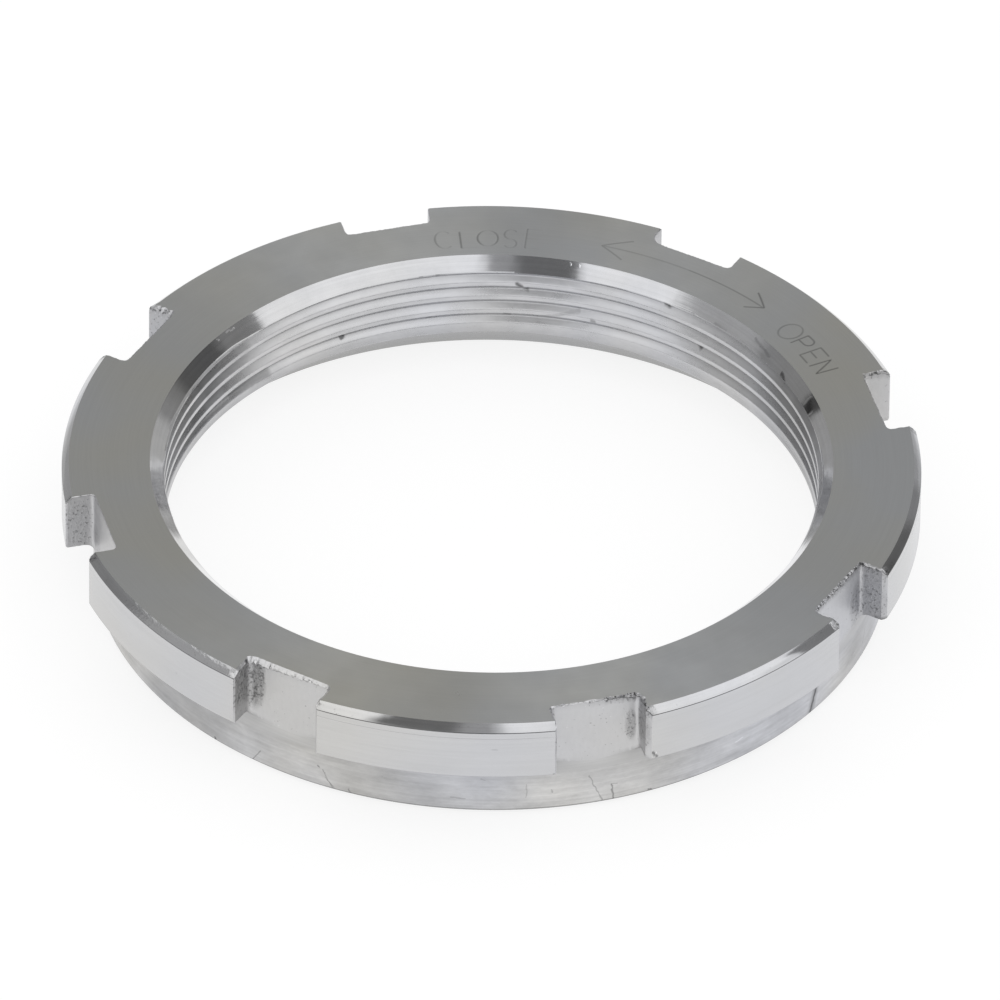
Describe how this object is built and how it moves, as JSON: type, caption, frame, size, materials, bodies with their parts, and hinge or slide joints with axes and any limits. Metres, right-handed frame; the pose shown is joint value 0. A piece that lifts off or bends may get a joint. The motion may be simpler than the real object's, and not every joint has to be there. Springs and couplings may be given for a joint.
{
  "type": "lock ring",
  "caption": "Metal lock ring with a flange cut by spanner slots, a narrower plain body below it, and a threaded bore bevelled at the top and flared underneath.",
  "frame": {"origin": "centre of the underside, on the ring's axis, in the plane of the flat land that it stands on", "axes": "+Z along the ring's axis, from the flared underside to the slotted flange; +X through the middle of one tooth of the flange"},
  "size_m": [0.05, 0.05, 0.0077],
  "materials": {
    "steel": "fine turned steel, satin on the top face and bright on the rim, the bevels and the thread"
  },
  "bodies": {
    "root": {"lock_ring": "steel"}
  },
  "joints": []
}
